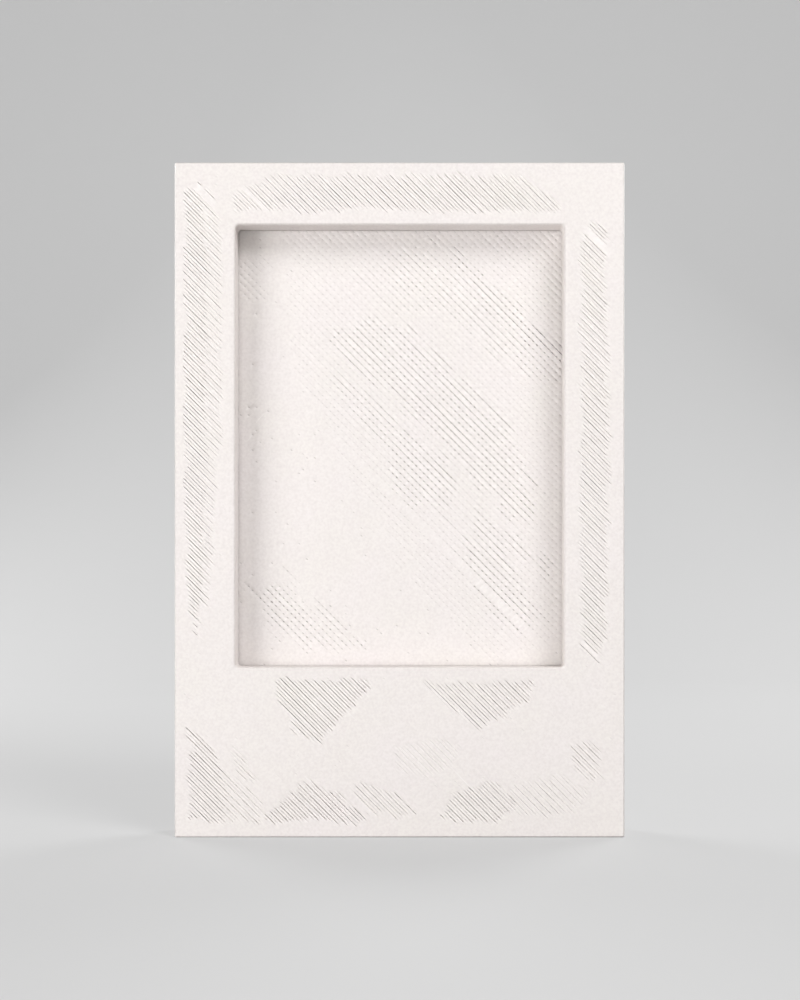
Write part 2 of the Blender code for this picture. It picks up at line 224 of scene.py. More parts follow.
def copy_piece(piece: bpy.types.Object, name: str) -> bpy.types.Object:
    """Copy a piece with a mesh of its own.

    Args:
        piece: The piece.
        name: The copy's name.

    Returns:
        The copy.
    """
    twin = bpy.data.objects.new(name, piece.data.copy())
    bpy.context.scene.collection.objects.link(twin)
    return twin


def grow(piece: bpy.types.Object, rings: Iterable[tuple[float, float]], radius: float) -> None:
    """Extrude the selected round end of a piece along Z, ring by ring.

    Args:
        piece: The piece in edit mode, with one round end selected.
        rings: The height and the radius of each new ring, from the end outwards.
        radius: The end's radius.
    """
    height = 0.0
    for next_height, next_radius in rings:
        bpy.ops.mesh.extrude_region_move(
            TRANSFORM_OT_translate={"value": (0.0, 0.0, next_height - height)}
        )
        share = next_radius / radius
        bpy.ops.transform.resize(value=(share, share, 1.0))
        height, radius = next_height, next_radius


@dataclass(frozen=True)
class Flat:
    """A flat face of a piece, square to Y.

    Attributes:
        level: Its place along Y.
        facing: 1 where it looks along +Y, and -1 where it looks along -Y.
    """

    level: float
    facing: int

    def holds(self, face: bmesh.types.BMFace) -> bool:
        """Say whether a mesh face belongs to this flat face."""
        level = face.calc_center_median().y
        return abs(level - self.level) < ON_PLANE and face.normal.y * self.facing > SQUARE_ON


@dataclass(frozen=True)
class Rectangle:
    """An upright rectangle on a flat face, in X and Z."""

    left: float
    right: float
    bottom: float
    top: float

    def grown(self, width: float) -> "Rectangle":
        """Give this rectangle with a margin added on all sides."""
        return Rectangle(
            self.left - width, self.right + width, self.bottom - width, self.top + width
        )

    def holds(self, point: Vector) -> bool:
        """Say whether a point lies inside."""
        return self.left < point.x < self.right and self.bottom < point.z < self.top

    def planes(self) -> list[Plane]:
        """Give the planes through its sides.

        Returns:
            The planes through the left, right, bottom and top side.
        """
        upright = [(Vector((x, 0.0, 0.0)), Vector((1.0, 0.0, 0.0))) for x in (self.left, self.right)]
        level = [(Vector((0.0, 0.0, z)), Vector((0.0, 0.0, 1.0))) for z in (self.bottom, self.top)]
        return upright + level

    def mitres(self) -> list[Plane]:
        """Give the planes through its corners, at 45 degrees to its sides.

        Returns:
            The four planes, each a point and a normal.
        """
        falling, rising = Lay.FALLING.across, Lay.RISING.across
        corners = (
            (self.left, self.bottom, rising),
            (self.right, self.top, rising),
            (self.left, self.top, falling),
            (self.right, self.bottom, falling),
        )
        return [(Vector((x, 0.0, z)), across) for x, z, across in corners]

    def nearest_side(self, point: Vector) -> tuple[float, bool]:
        """Find the side that is nearest to a point.

        Args:
            point: The point.

        Returns:
            How far the point is from it, and whether that side is upright.
        """
        beside = min(point.x - self.left, self.right - point.x)
        below = min(point.z - self.bottom, self.top - point.z)
        return min(beside, below), beside < below

    def reach(self, direction: Vector) -> tuple[float, float]:
        """Give the least and the greatest distance of its corners along a direction."""
        corners = [
            Vector((x, 0.0, z)).dot(direction)
            for x in (self.left, self.right)
            for z in (self.bottom, self.top)
        ]
        return min(corners), max(corners)


WINDOW = Rectangle(left=-23.4 * MM, right=23.4 * MM, bottom=24.2 * MM, top=87.1 * MM)


@dataclass(frozen=True)
class Patch:
    """A part of a face where the nozzle's lines lie apart.

    Attributes:
        corners: Its convex outline, as millimetres in X and Z.
        strength: How far the gaps are open inside, from 0 to 1.
    """

    corners: tuple[tuple[float, float], ...]
    strength: float = 1.0

    def openness(self, x: float, z: float, wander: float, softness: float) -> float:
        """Say how far the gaps are open at a place.

        Args:
            x: The place in X, in millimetres.
            z: The place in Z, in millimetres.
            wander: How far the outline is moved outwards here, in millimetres.
            softness: The width over which the gaps close at the outline, in millimetres.

        Returns:
            The openness, from 0 to the patch's strength.
        """
        turn = 0.0
        last = self.corners[-1]
        distances = []
        for corner in self.corners:
            side = (corner[0] - last[0], corner[1] - last[1])
            offset = (x - last[0], z - last[1])
            distances.append((side[0] * offset[1] - side[1] * offset[0]) / math.hypot(*side))
            turn += last[0] * corner[1] - corner[0] * last[1]
            last = corner
        inside = min(math.copysign(1.0, turn) * distance for distance in distances)
        share = min(max((inside + wander) / softness + 0.5, 0.0), 1.0)
        return self.strength * share * share * (3.0 - 2.0 * share)


@dataclass(frozen=True)
class Gaps:
    """The gaps between the nozzle's lines on one flat face.

    Attributes:
        lay: How the lines run.
        pitch: From one gap to the next.
        width: Across a gap.
        depth: Of a fully open gap.
        cross_pitch: From one line of the layer below to the next.
        cross_steps: Where the gaps change depth, within one cross pitch.
        dot: The length of the deep part at a crossing.
        dash: The share of the depth that is left away from a crossing.
        weak_line: The share of the depth of every second gap.
        unevenness: The share of the depth that varies from gap to gap.
        blots: The share of the depth that varies from crossing to crossing.
        streaks: How much of a gap is open all along, from -1 for none to 1 for all.
        streak_depth: The share of the depth that such an open stretch has.
        streak_step: How far apart two gaps read the noise that makes the streaks.
        streak_pace: How fast that noise changes from one crossing to the next.
        streak_edge: How sharply a streak begins and ends.
        fading: How much sooner a gap closes between the crossings than at them, from 0.
        ridge: How strong the painted highlight on the strips beside a fully open gap is, from 0 to 1.
        darkness: How strong the painted shade at the bottom of a fully open gap is, from 0 to 1.
        patches: Where the gaps are open.
        base: How far the gaps are open everywhere else.
        speckle: The share of the crossings outside the patches that are small pits.
        pit: The share of the depth that such a pit has.
        ragged_size: How long the bays of the patches' outlines are, in millimetres.
        wander: How ragged the patches' outlines are, in millimetres.
        softness: The width over which the gaps close there, in millimetres.
        clears_odd_edges: Whether edges that none of its cuts made are dissolved first.
        seed: Sets the pattern's chances.
    """

    lay: Lay
    pitch: float = 0.4 * MM
    width: float = 0.215 * MM
    depth: float = 0.34 * MM
    cross_pitch: float = 0.8 * MM
    cross_steps: tuple[float, ...] = (-0.2 * MM, 0.0, 0.2 * MM)
    dot: float = 0.14 * MM
    dash: float = 0.7
    weak_line: float = 0.5
    unevenness: float = 0.15
    blots: float = 0.25
    streaks: float = -0.1
    streak_depth: float = 1.0
    streak_step: float = 3.7
    streak_pace: float = 0.13
    streak_edge: float = 5.0
    fading: float = 0.0
    # Strength of the painted highlight beside the gaps and of the painted shade at their bottoms
    ridge: float = 1.0
    darkness: float = 1.0
    patches: tuple[Patch, ...] = ()
    base: float = 0.0
    speckle: float = 0.0
    pit: float = 0.4
    ragged_size: float = 2.5
    wander: float = 0.6
    softness: float = 0.4
    clears_odd_edges: bool = False
    seed: int = 1

    def cut_lines(self, piece: bpy.types.Object, area: Rectangle, lined: FaceTest) -> None:
        """Cut a piece in edit mode along and across the gaps.

        Args:
            piece: The piece.
            area: What the gaps cover.
            lined: Says of one face whether it has gaps.
        """
        show_only(piece, lined)
        cut(self.planes_of(self.lay, self.pitch, (0.0,), area))
        cut(self.planes_of(self.lay.other, self.cross_pitch, self.cross_steps, area))

    @staticmethod
    def planes_of(lay: Lay, pitch: float, steps: tuple[float, ...], area: Rectangle) -> list[Plane]:
        """Give planes that repeat along one lay.

        Args:
            lay: The lay that the planes follow.
            pitch: From one group of planes to the next.
            steps: Where the planes of one group lie.
            area: What the planes have to cover.

        Returns:
            The planes, each a point and a normal.
        """
        low, high = area.reach(lay.across)
        groups = range(math.floor(low / pitch), math.ceil(high / pitch) + 1)
        places = [group * pitch + step for group in groups for step in steps]
        return [(lay.across * place, lay.across) for place in places if low < place < high]

    def line_at(self, point: Vector) -> tuple[int, float]:
        """Give the number of the gap nearest to a point, and its distance."""
        place = point.dot(self.lay.across) / self.pitch
        return round(place), abs(place - round(place)) * self.pitch

    def weight(self, point: Vector) -> float:
        """Say how deep a gap is at a point on its middle line.

        Args:
            point: The point, in metres.

        Returns:
            The share of the full depth, from 0 to 1.
        """
        line, _ = self.line_at(point)
        place = point.dot(self.lay.other.across) / self.cross_pitch
        crossing = round(place)
        at_crossing = abs(place - crossing) * self.cross_pitch < self.dot / 2.0 + ON_PLANE
        x, z = point.x / MM, point.z / MM
        bay = noise.noise(Vector((x, self.seed, z)) / self.ragged_size)
        ragged = bay + chance(self.seed, line) - 0.5
        share = max(
            (patch.openness(x, z, ragged * self.wander, self.softness) for patch in self.patches),
            default=0.0,
        )
        share = max(share, self.base)
        if at_crossing and chance(self.seed, line, crossing) < self.speckle:
            share = max(share, self.pit)
        share *= 1.0 - self.unevenness * chance(self.seed, line, 0)
        share *= 1.0 if line % 2 == 0 else self.weak_line
        share *= 1.0 - self.blots * chance(self.seed, line, crossing, 1)
        step, pace = self.streak_step, self.streak_pace
        run = noise.noise(Vector((line * step, self.seed, crossing * pace)))
        whole = min(max((run + self.streaks) * self.streak_edge, 0.0), 1.0)
        between = self.dash + (self.streak_depth - self.dash) * whole
        return share * (1.0 if at_crossing else between * share ** self.fading)


BACK_GAPS = Gaps(
    lay=Lay.RISING,
    depth=0.07 * MM,
    cross_pitch=6.0 * MM,
    cross_steps=(0.0,),
    dash=1.0,
    weak_line=0.85,
    unevenness=0.4,
    base=0.7,
    ridge=0.35,
    darkness=0.75,
)


@dataclass(frozen=True)
class Rings:
    """The creases between the lines of a printed outline, each a ring inside the last.

    Attributes:
        outline: The outline.
        count: How many creases there are.
        pitch: From one crease to the next.
        width: Across a crease.
        depth: Of the deepest crease.
        ridge: How strong the painted highlight on the strips beside a crease is, from 0 to 1.
        darkness: How strong the painted shade at the bottom of the deepest crease is, from 0 to 1.
        mean: The mean share of the depth.
        swell: How much a crease gets deeper and shallower on its way.
        swell_size: How long these swells are, in millimetres.
        ring_step: How far apart two creases read the noise that makes the swells.
        unevenness: The share of the depth that varies from crease to crease.
        clears_odd_edges: Whether edges that none of its cuts made are dissolved first.
        seed: Sets the pattern's chances.
    """

    outline: Rectangle
    count: int = 9
    pitch: float = 0.4 * MM
    width: float = 0.1 * MM
    depth: float = 0.05 * MM
    # Strength of the painted highlight beside the creases and of the painted shade in them
    ridge: float = 0.0
    darkness: float = 0.5
    mean: float = 0.75
    swell: float = 0.5
    swell_size: float = 9.0
    ring_step: float = 3.1
    unevenness: float = 0.4
    clears_odd_edges: bool = False
    seed: int = 6

    def cut_lines(self, piece: bpy.types.Object, area: Rectangle, lined: FaceTest) -> None:
        """Cut a piece in edit mode along the rings.

        Args:
            piece: The piece.
            area: What the rings cover.
            lined: Says of one face whether it has rings.
        """
        show_only(piece, lined)
        cut(self.outline.mitres())
        rings = [self.outline.grown(-self.pitch * number) for number in range(1, self.count + 1)]
        for upright in (True, False):

            def beside(face: bmesh.types.BMFace, upright: bool = upright) -> bool:
                """Say whether a face lies beside the sides that are being followed."""
                side = self.outline.nearest_side(face.calc_center_median())
                return lined(face) and side[1] == upright

            show_only(piece, beside)
            for ring in rings:
                cut(ring.planes()[:2] if upright else ring.planes()[2:])
        show_only(piece, lined)

    def line_at(self, point: Vector) -> tuple[int, float]:
        """Give the number of the ring nearest to a point, and its distance."""
        place = self.outline.nearest_side(point)[0] / self.pitch
        return round(place), abs(place - round(place)) * self.pitch

    def weight(self, point: Vector) -> float:
        """Say how deep a crease is at a point.

        Args:
            point: The point, in metres.

        Returns:
            The share of the full depth, from 0 to 1.
        """
        line, _ = self.line_at(point)
        x, z = (place / MM / self.swell_size for place in (point.x, point.z))
        run = noise.noise(Vector((x, line * self.ring_step + self.seed, z)))
        return (self.mean + self.swell * run) * (1.0 - self.unevenness * chance(self.seed, line))


@dataclass(frozen=True)
class PrintedPlastic:
    """The matt plastic of a print.

    Attributes:
        name: The material's name.
        colour: Its colour.
        tint: The colour that its clouds lean to.
        cloud_size: The size of the clouds.
        cloud_span: The noise at which a cloud begins and at which it is full.
        mottle: The colour of its small duller spots.
        mottle_size: The size of these spots.
        mottle_span: The noise at which such a spot begins and at which it is full.
        mottle_share: The share of the spots' colour that a full spot has.
        roughness: Its least and its greatest roughness.
        rough_span: The spots' noise at which these are reached.
        detail: How many finer layers the clouds and the spots have.
        specular: The strength of its gloss.
        grain_size: The size of the surface's grain.
        grain_height: The height of the grain.
        ridge: The painted highlight on the strips between open gaps.
        shade: The painted shade at the bottom of a gap, where little light comes back out.
    """

    name: str
    colour: Colour = (0.865, 0.813, 0.796)
    tint: Colour = (0.86, 0.815, 0.782)
    cloud_size: float = 9.0 * MM
    cloud_span: Span = (0.35, 0.65)
    mottle: Colour = (0.775, 0.722, 0.702)
    mottle_size: float = 0.4 * MM
    mottle_span: Span = (0.35, 0.75)
    mottle_share: float = 0.8
    roughness: Span = (0.5, 0.6)
    rough_span: Span = (0.3, 0.7)
    detail: float = 3.0
    specular: float = 0.35
    grain_size: float = 0.15 * MM
    grain_height: float = 0.006 * MM
    # Colours of the painted highlight beside the gaps and of the painted shade in them
    ridge: Colour = (0.985, 0.945, 0.925)
    shade: Colour = (0.20, 0.165, 0.15)

    def make(self) -> bpy.types.Material:
        """Make the material.

        Returns:
            The material, which reads Object coordinates.
        """
        desk = Desk(self.name)
        clouds = desk.noise(self.cloud_size, self.detail)
        mottle = desk.noise(self.mottle_size, self.detail)
        cloudy = desk.mix(desk.stretch(clouds, self.cloud_span), self.colour, self.tint)
        mottled = desk.stretch(mottle, self.mottle_span, (0.0, self.mottle_share))
        plain = desk.mix(mottled, cloudy, self.mottle)
        # Painted shade and painted highlight: the gaps' vertex attribute darkens the gap bottoms towards
        # the shade colour and brightens the strips beside them towards the highlight colour
        gap = desk.add("ShaderNodeAttribute", {})
        gap.attribute_name = GAP_SHADE_AND_HIGHLIGHT
        beside = desk.stretch(gap.outputs["Fac"], (-1.0, 0.0), (1.0, 0.0))
        inside = desk.stretch(gap.outputs["Fac"])
        return desk.finish(
            {
                "Base Color": desk.mix(inside, desk.mix(beside, plain, self.ridge), self.shade),
                "Roughness": desk.stretch(mottle, self.rough_span, self.roughness),
                "Specular IOR Level": self.specular,
                "Normal": desk.relief(desk.noise(self.grain_size), self.grain_height),
            }
        )


@dataclass(frozen=True)
class SpottedFinish:
    """A smooth finish with soft, rougher spots and a fine relief.

    Attributes:
        name: The material's name.
        colour: Its colour.
        spot: The colour of its spots.
        spot_size: The size of the spots.
        spot_detail: How many finer layers they have.
        spot_span: The noise at which a spot begins and at which it is full.
        spot_share: The share of the spots' colour that a full spot has.
        roughness: Its least and its greatest roughness.
        rough_span: The spots' noise at which these are reached.
        relief_size: The size of its ripples or scratches.
        relief_height: Their height.
        metallic: 1 for a metal, and 0 for anything else.
    """

    name: str
    colour: Colour
    spot: Colour
    spot_size: float
    spot_detail: float
    spot_span: Span
    spot_share: float
    roughness: Span
    rough_span: Span
    relief_size: float
    relief_height: float
    metallic: float

    def make(self) -> bpy.types.Material:
        """Make the material.

        Returns:
            The material, which reads Object coordinates.
        """
        desk = Desk(self.name)
        noise_of_spots = desk.noise(self.spot_size, self.spot_detail)
        spots = desk.stretch(noise_of_spots, self.spot_span, (0.0, self.spot_share))
        return desk.finish(
            {
                "Base Color": desk.mix(spots, self.colour, self.spot),
                "Roughness": desk.stretch(noise_of_spots, self.rough_span, self.roughness),
                "Metallic": self.metallic,
                "Normal": desk.relief(desk.noise(self.relief_size), self.relief_height),
            }
        )


FILAMENT = SpottedFinish(
    name="filament",
    colour=(0.90, 0.86, 0.83),
    spot=(0.86, 0.81, 0.76),
    spot_size=0.7 * MM,
    spot_detail=2.0,
    spot_span=(0.4, 0.7),
    spot_share=0.8,
    roughness=(0.3, 0.48),
    rough_span=(0.3, 0.7),
    relief_size=0.7 * MM,
    relief_height=0.02 * MM,
    metallic=0.0,
)
ZINC_PLATE = SpottedFinish(
    name="zinc_plated_steel",
    colour=(0.66, 0.67, 0.69),
    spot=(0.50, 0.50, 0.50),
    spot_size=0.9 * MM,
    spot_detail=4.0,
    spot_span=(0.4, 0.75),
    spot_share=0.7,
    roughness=(0.24, 0.44),
    rough_span=(0.35, 0.7),
    relief_size=0.08 * MM,
    relief_height=0.003 * MM,
    metallic=1.0,
)


@dataclass(frozen=True)
class StudioPaper:
    """The pale paper of the floor and the backdrop.

    Attributes:
        name: The material's name.
        colour: Its colour, as light meets it.
        seen: Its colour as the camera sees it, with less light from the lamps.
        fleck: The colour of its faint flecks, as the camera sees them.
        roughness: Its roughness.
        specular: The strength of its gloss.
        fleck_size: The size of the flecks.
        lift: The even light that the camera sees on it, so that the background is pale.
    """

    name: str = "studio_paper"
    colour: Colour = (0.38, 0.38, 0.38)
    seen: Colour = (0.26, 0.26, 0.26)
    fleck: Colour = (0.25, 0.25, 0.25)
    roughness: float = 0.9
    specular: float = 0.1
    fleck_size: float = 60.0 * MM
    lift: float = 0.42

    def make(self) -> bpy.types.Material:
        """Make the material.

        Returns:
            The material, which reads Object coordinates.
        """
        desk = Desk(self.name)
        to_camera = desk.add("ShaderNodeLightPath", {}).outputs["Is Camera Ray"]
        flecked = desk.mix(desk.noise(self.fleck_size), self.seen, self.fleck)
        return desk.finish(
            {
                "Base Color": desk.mix(to_camera, self.colour, flecked),
                "Roughness": self.roughness,
                "Specular IOR Level": self.specular,
                "Emission Color": (1.0, 1.0, 1.0),
                "Emission Strength": desk.stretch(to_camera, result=(0.0, self.lift)),
            }
        )


class Desk:
    """Adds and joins the nodes of one material.

    Attributes:
        material: The material.
        place: The Object coordinates, which its patterns read.
    """

    def __init__(self, name: str) -> None:
        """Start a material with a plain shader.

        Args:
            name: The material's name.
        """
        self.material = bpy.data.materials.new(name)
        self.material.use_nodes = True
        self.place = self.add("ShaderNodeTexCoord", {}).outputs["Object"]

    def feed(self, target: Socket, value: Filling) -> None:
        """Join an output to an input, or set the input to a number or a colour.

        Args:
            target: The input.
            value: The output, the number or the colour.
        """
        if isinstance(value, Socket):
            self.material.node_tree.links.new(value, target)
        else:
            target.default_value = (*value, 1.0) if isinstance(value, tuple) else value

    def add(self, kind: str, inputs: dict[str, Filling]) -> bpy.types.Node:
        """Add a node.

        Args:
            kind: Its kind.
            inputs: What goes into its inputs, by their names.

        Returns:
            The node.
        """
        node = self.material.node_tree.nodes.new(kind)
        for name, value in inputs.items():
            self.feed(node.inputs[name], value)
        return node

    def noise(self, size: float, detail: float = 2.0) -> Socket:
        """Add a noise pattern.

        Args:
            size: The size of its spots.
            detail: How many finer layers it has.

        Returns:
            The noise, from 0 to 1.
        """
        inputs = {"Vector": self.place, "Scale": 1.0 / size, "Detail": detail}
        return self.add("ShaderNodeTexNoise", inputs).outputs["Fac"]

    def stretch(self, value: Socket, span: Span = (0.0, 1.0), result: Span = (0.0, 1.0)) -> Socket:
        """Stretch one span of a value to another, and hold it at the ends.

        Args:
            value: The value.
            span: The two ends of its span.
            result: What these ends become.

        Returns:
            The stretched value.
        """
        names = ("From Min", "From Max", "To Min", "To Max")
        inputs = dict(zip(names, (*span, *result)))
        return self.add("ShaderNodeMapRange", {"Value": value, **inputs}).outputs["Result"]

    def mix(self, share: Socket, first: Socket | Colour, second: Socket | Colour) -> Socket:
        """Mix two colours.

        Args:
            share: The share of the second colour.
            first: The first colour, or the socket that gives it.
            second: The second colour, or the socket that gives it.

        Returns:
            The mixed colour.
        """
        node = self.add("ShaderNodeMix", {})
        node.data_type = "RGBA"
        self.feed(node.inputs["Factor"], share)
        colour_inputs = [socket for socket in node.inputs if socket.type == "RGBA"]
        for socket, colour in zip(colour_inputs, (first, second)):
            self.feed(socket, colour)
        return next(socket for socket in node.outputs if socket.type == "RGBA")

    def relief(self, pattern: Socket, height: float) -> Socket:
        """Turn a pattern into a relief.

        Args:
            pattern: The pattern, from 0 to 1.
            height: The relief's real height.

        Returns:
            The way that the surface faces with that relief.
        """
        inputs = {"Height": pattern, "Distance": height, "Strength": 1.0}
        return self.add("ShaderNodeBump", inputs).outputs["Normal"]

    def finish(self, inputs: dict[str, Filling]) -> bpy.types.Material:
        """Fill the shader's inputs.

        Args:
            inputs: What goes into them, by their names.

        Returns:
            The finished material.
        """
        shader = self.material.node_tree.nodes["Principled BSDF"]
        for name, value in inputs.items():
            self.feed(shader.inputs[name], value)
        return self.material


@dataclass
class PrintedPiece:
    """One printed piece, made from a merged copy of its solid.

    Attributes:
        node: The solid's node.
        body: The body that it rides on.
        slot: The record's material slot; not used.
        layer_height: The height of a layer.
        layer_groove: How deep the crease between two layers is.
        band: The width of the fused outline along the edges of a lined face.
        piece: The dressed copy.
        low: The low corner of the solid's box.
        high: Its high corner.
    """

    node: str
    body: str = "frame"
    slot: str = "printed_fittings"
    layer_height: float = 0.2 * MM
    layer_groove: float = 0.018 * MM
    band: float = 1.2 * MM
    piece: bpy.types.Object = field(init=False, repr=False)
    low: Vector = field(init=False, repr=False)
    high: Vector = field(init=False, repr=False)

    @property
    def outline(self) -> Rectangle:
        """The rectangle round the piece, seen from the front."""
        return Rectangle(self.low.x, self.high.x, self.low.z, self.high.z)

    def copy_solid(self) -> None:
        """Copy the solid as a new piece, and merge its loose triangles to faces without a notch."""
        self.low, self.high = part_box(self.node)
        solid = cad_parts[self.node]
        self.piece = bpy.data.objects.new(f"{self.node}_print", solid.data.copy())
        self.piece.data.materials.clear()
        bpy.context.scene.collection.objects.link(self.piece)
        start_editing(self.piece)
        bpy.ops.mesh.select_all(action="SELECT")
        bpy.ops.mesh.customdata_custom_splitnormals_clear()
        bpy.ops.mesh.remove_doubles(threshold=WELD_DISTANCE)
        bpy.ops.mesh.dissolve_limited(angle_limit=FLAT_ANGLE)
        bpy.ops.mesh.vert_connect_concave()
        stop_editing()

    def mark_layers(self) -> None:
        """Draw a crease into the walls between each layer and the next."""
        thickness = self.high.y - self.low.y
        count = round(thickness / self.layer_height)
        edges = [self.low.y + self.layer_height * index for index in range(1, count)]
        middles = [self.low.y + self.layer_height * (index + 0.5) for index in range(count)]
        upright = Vector((0.0, 1.0, 0.0))
        start_editing(self.piece)
        cut((upright * level, upright) for level in edges + middles)

        def in_crease(vertex: bmesh.types.BMVert) -> bool:
            """Say whether a vertex lies on a wall, between two layers."""
            layer = (vertex.co.y - self.low.y) / self.layer_height
            on_edge = abs(layer - round(layer)) * self.layer_height < ON_PLANE
            return on_edge and all(abs(face.normal.y) < SQUARE_ON for face in vertex.link_faces)

        select_where(self.piece, Kind.VERTEX, in_crease)
        bpy.ops.transform.shrink_fatten(value=-self.layer_groove)
        stop_editing()

    def open_gaps(
        self, flat: Flat, area: Rectangle, gaps: Gaps | Rings, hole: Rectangle | None = None
    ) -> None:
        """Cut the gaps between the nozzle's lines into a flat face.

        Args:
            flat: The face.
            area: Where the lines run. Outside it the outline's own lines are fused.
            gaps: The pattern of the gaps.
            hole: Where the lines leave an opening and its outline free.
        """
        start_editing(self.piece)
        show_only(self.piece, flat.holds)
        cut(area.planes() + (hole.planes() if hole else []))

        def lined(face: bmesh.types.BMFace) -> bool:
            """Say whether a face belongs to the lined area."""
            middle = face.calc_center_median()
            in_hole = hole is not None and hole.holds(middle)
            return flat.holds(face) and area.holds(middle) and not in_hole

        gaps.cut_lines(self.piece, area, lined)
        if gaps.clears_odd_edges:
            self.drop_odd_edges()
        self.widen_gaps(gaps)
        self.weigh_gaps(gaps, self.piece.vertex_groups.new(name=GAP_GROUP).index)
        stop_editing()
        press = self.piece.modifiers.new("press", "DISPLACE")
        press.direction = "Y"
        press.mid_level = 0.0
        press.strength = -flat.facing * gaps.depth
        press.vertex_group = GAP_GROUP
        bpy.ops.object.modifier_apply(modifier=press.name)
        self.piece.vertex_groups.remove(self.piece.vertex_groups[GAP_GROUP])
        start_editing(self.piece)
        show_only(self.piece, flat.holds)
        bpy.ops.mesh.select_all(action="SELECT")
        bpy.ops.mesh.dissolve_limited(angle_limit=LEVEL_ANGLE)
        stop_editing()

    def drop_odd_edges(self) -> None:
        """Dissolve the edges that cross the shown face at an odd angle, as no cut made them."""

        def is_odd(edge: bmesh.types.BMEdge) -> bool:
            """Say whether an edge lies inside the shown face and off all the cuts' directions."""
            along = edge.verts[1].co - edge.verts[0].co
            turn = math.atan2(along.z, along.x) % HALF_SQUARE
            off = min(turn, HALF_SQUARE - turn) > FLAT_ANGLE
            return off and all(not face.hide for face in edge.link_faces)

        if select_where(self.piece, Kind.EDGE, is_odd):
            bpy.ops.mesh.dissolve_edges(use_verts=True)

    def widen_gaps(self, gaps: Gaps | Rings) -> None:
        """Split each gap's middle line into a strip with two slopes.

        Args:
            gaps: The pattern of the gaps.
        """

        def on_gap(edge: bmesh.types.BMEdge) -> bool:
            """Say whether an edge lies along the middle of a gap."""
            (first, near), (second, far) = (gaps.line_at(vertex.co) for vertex in edge.verts)
            return first == second and max(near, far) < ON_PLANE

        select_where(self.piece, Kind.EDGE, on_gap)
        bpy.ops.mesh.bevel(
            offset=gaps.width / 2.0,
            offset_type="OFFSET",
            segments=2,
            affect="EDGES",
            clamp_overlap=False,
        )
        bpy.ops.mesh.select_all(action="SELECT")
        bpy.ops.mesh.remove_doubles(threshold=SLIVER_WIDTH)

    def weigh_gaps(self, gaps: Gaps | Rings, group: int) -> None:
        """Give each vertex in the middle of a gap the share of the depth that it gets.

        Args:
            gaps: The pattern of the gaps.
            group: The number of the vertex group that holds the shares.
        """
        mesh = bmesh.from_edit_mesh(self.piece.data)
        shares = mesh.verts.layers.deform.verify()
        floats = mesh.verts.layers.float
        # This float layer holds the painted shade at the gaps' middles (above 0) and the painted highlight
        # beside them (below 0)
        shade_and_highlight_layer = floats.get(GAP_SHADE_AND_HIGHLIGHT) or floats.new(GAP_SHADE_AND_HIGHLIGHT)
        for vertex in mesh.verts:
            if vertex.hide or any(face.hide for face in vertex.link_faces):
                continue
            share = gaps.weight(vertex.co)
            if gaps.line_at(vertex.co)[1] < ON_PLANE:
                vertex[shares][group] = share
                vertex[shade_and_highlight_layer] = gaps.darkness * share
            else:
                vertex[shade_and_highlight_layer] = -gaps.ridge * share
        bmesh.update_edit_mesh(self.piece.data)

    def dress(self, material: bpy.types.Material) -> None:
        """Shade the piece, give it its material and let it ride on its body.

        Args:
            material: The piece's material.
        """
        shade(self.piece)
        self.piece.data.materials.append(material)
        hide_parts(self.node)
        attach(self.piece, self.body)
        LOG.info("%s: %d faces", self.piece.name, len(self.piece.data.polygons))


